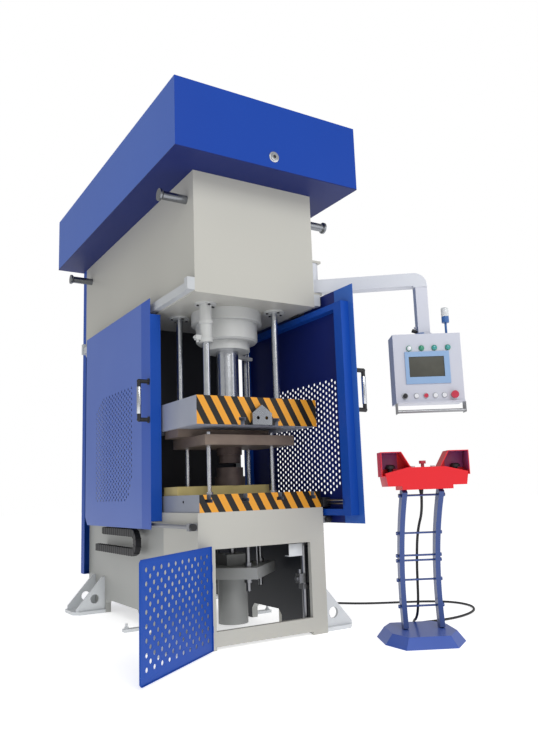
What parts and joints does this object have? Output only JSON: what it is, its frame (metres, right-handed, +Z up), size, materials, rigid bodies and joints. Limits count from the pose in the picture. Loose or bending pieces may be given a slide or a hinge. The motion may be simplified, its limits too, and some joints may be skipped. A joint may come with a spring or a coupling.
{
  "type": "hydraulic press",
  "caption": "C-frame hydraulic press with a guided slide, die set, bottom cushion, sliding guards, swing-arm pendant and a two-hand control stand.",
  "frame": {"origin": "on the floor at the centre of the four anchor bolt holes", "axes": "+Z up, press front faces -Y, +X to the right of someone facing the press"},
  "size_m": [2.8598, 3.2208, 3.383],
  "materials": {
    "light_grey_paint": "satin",
    "dark_plate": "satin",
    "royal_blue_paint": "satin",
    "lavender_blue_paint": "satin",
    "navy_paint": "satin",
    "hazard_paint": "satin",
    "chrome": "polished",
    "machined_steel": "machined",
    "die_steel": "ground",
    "cast_grey": "as cast",
    "black_plastic": "matte",
    "red_paint": "gloss",
    "pendant_grey": "satin",
    "stand_blue": "satin",
    "button_white": "gloss",
    "button_red": "gloss",
    "screen_blue": "satin",
    "lamp_mix": "gloss",
    "clear_lens": "clear",
    "cable_rubber": "matte"
  },
  "bodies": {
    "frame": {"crown_box": "light_grey_paint", "left_side_plate": "light_grey_paint", "right_side_plate": "light_grey_paint", "throat_back_plate": "dark_plate", "bed_box": "light_grey_paint", "bolster_plate": "hazard_paint", "mounting_feet": "light_grey_paint", "pump_deck": "navy_paint", "top_cover": "royal_blue_paint", "lifting_trunnions": "chrome", "rear_cabinet": "royal_blue_paint", "main_cylinder": "cast_grey", "guide_bushes": "machined_steel", "rod_lock": "machined_steel", "lower_die_shoe": "die_steel", "die_pillars": "chrome", "die_block": "die_steel", "cushion_plate": "cast_grey", "cushion_tie_rods": "machined_steel", "cushion_cylinder": "cast_grey", "pressure_pipe": "machined_steel", "guard_rails": "machined_steel", "energy_chain": "black_plastic", "stand_frame": "stand_blue", "console_body": "red_paint", "console_lamps": "button_white", "stand_cable": "cable_rubber"},
    "slide": {"platen": "hazard_paint", "ram": "chrome", "guide_rods": "chrome", "position_rod": "chrome", "bell_clamp": "chrome", "upper_die_plate": "die_steel", "upper_die_shoe": "die_steel", "punch": "die_steel"},
    "ejector": {"ejector_rod": "machined_steel"},
    "left_guard": {"left_guard_sheet": "lavender_blue_paint", "left_guard_frame": "navy_paint", "left_guard_carriages": "machined_steel", "left_guard_handle": "machined_steel"},
    "right_guard": {"right_guard_sheet": "lavender_blue_paint", "right_guard_frame": "navy_paint", "right_guard_carriages": "machined_steel", "right_guard_handle": "machined_steel"},
    "door": {"lower_door": "royal_blue_paint"},
    "arm": {"pendant_arm": "pendant_grey"},
    "pendant": {"pendant_box": "pendant_grey", "screen_bezel": "screen_blue", "pilot_lamps": "lamp_mix", "beacon": "clear_lens", "pendant_handle": "machined_steel"},
    "selector": {"selector": "black_plastic"},
    "emergency_stop": {"emergency_stop": "button_red"},
    "palm_button_left": {"palm_button_left": "black_plastic"},
    "palm_button_right": {"palm_button_right": "black_plastic"},
    "console_stop": {"console_stop": "button_red"},
    "pendant_button_1": {"pendant_button_1": "button_white"},
    "pendant_button_2": {"pendant_button_2": "button_red"},
    "pendant_button_3": {"pendant_button_3": "button_white"},
    "pendant_button_4": {"pendant_button_4": "button_white"}
  },
  "joints": [
    {"name": "press_slide", "type": "slide", "parent": "frame", "child": "slide", "axis": [0, 0, 1], "range_m": [-0.02, 0.33]},
    {"name": "ejector_slide", "type": "slide", "parent": "frame", "child": "ejector", "axis": [0, 0, 1], "range_m": [0, 0.1]},
    {"name": "left_guard_slide", "type": "slide", "parent": "frame", "child": "left_guard", "axis": [0, 1, 0], "range_m": [-0.868, 0]},
    {"name": "right_guard_slide", "type": "slide", "parent": "frame", "child": "right_guard", "axis": [0, 1, 0], "range_m": [0, 0.868]},
    {"name": "lower_door_hinge", "type": "hinge", "parent": "frame", "child": "door", "pos_m": [-0.38, -1.09, 0.3], "axis": [0, 0, 1], "range_deg": [-5, 142.5]},
    {"name": "arm_swing", "type": "hinge", "parent": "frame", "child": "arm", "pos_m": [0.505, -0.965, 2.3], "axis": [0, 0, 1], "range_deg": [-45, 55]},
    {"name": "pendant_swivel", "type": "hinge", "parent": "arm", "child": "pendant", "pos_m": [1.091, -1.435, 2.25], "axis": [0, 0, 1], "range_deg": [-60, 60]},
    {"name": "selector_turn", "type": "hinge", "parent": "pendant", "child": "selector", "pos_m": [0.89814, -1.42755, 1.486], "axis": [-0.5255, -0.8508, 0], "range_deg": [-45, 45]},
    {"name": "pendant_button_1_press", "type": "slide", "parent": "pendant", "child": "pendant_button_1", "axis": [0.5255, 0.8508, 0], "range_m": [0, 0.005], "stiffness_N_per_m": 400, "springref_m": -0.002},
    {"name": "pendant_button_2_press", "type": "slide", "parent": "pendant", "child": "pendant_button_2", "axis": [0.5255, 0.8508, 0], "range_m": [0, 0.005], "stiffness_N_per_m": 400, "springref_m": -0.002},
    {"name": "pendant_button_3_press", "type": "slide", "parent": "pendant", "child": "pendant_button_3", "axis": [0.5255, 0.8508, 0], "range_m": [0, 0.005], "stiffness_N_per_m": 400, "springref_m": -0.002},
    {"name": "pendant_button_4_press", "type": "slide", "parent": "pendant", "child": "pendant_button_4", "axis": [0.5255, 0.8508, 0], "range_m": [0, 0.005], "stiffness_N_per_m": 400, "springref_m": -0.002},
    {"name": "emergency_stop_press", "type": "slide", "parent": "pendant", "child": "emergency_stop", "axis": [0.5255, 0.8508, 0], "range_m": [0, 0.005], "stiffness_N_per_m": 600, "springref_m": -0.002},
    {"name": "palm_left_press", "type": "slide", "parent": "frame", "child": "palm_button_left", "axis": [0, 0, -1], "range_m": [0, 0.006], "stiffness_N_per_m": 1500, "springref_m": -0.008},
    {"name": "palm_right_press", "type": "slide", "parent": "frame", "child": "palm_button_right", "axis": [0, 0, -1], "range_m": [0, 0.006], "stiffness_N_per_m": 1500, "springref_m": -0.008},
    {"name": "console_stop_press", "type": "slide", "parent": "frame", "child": "console_stop", "axis": [0, 0, -1], "range_m": [0, 0.005], "stiffness_N_per_m": 1500, "springref_m": -0.006}
  ]
}
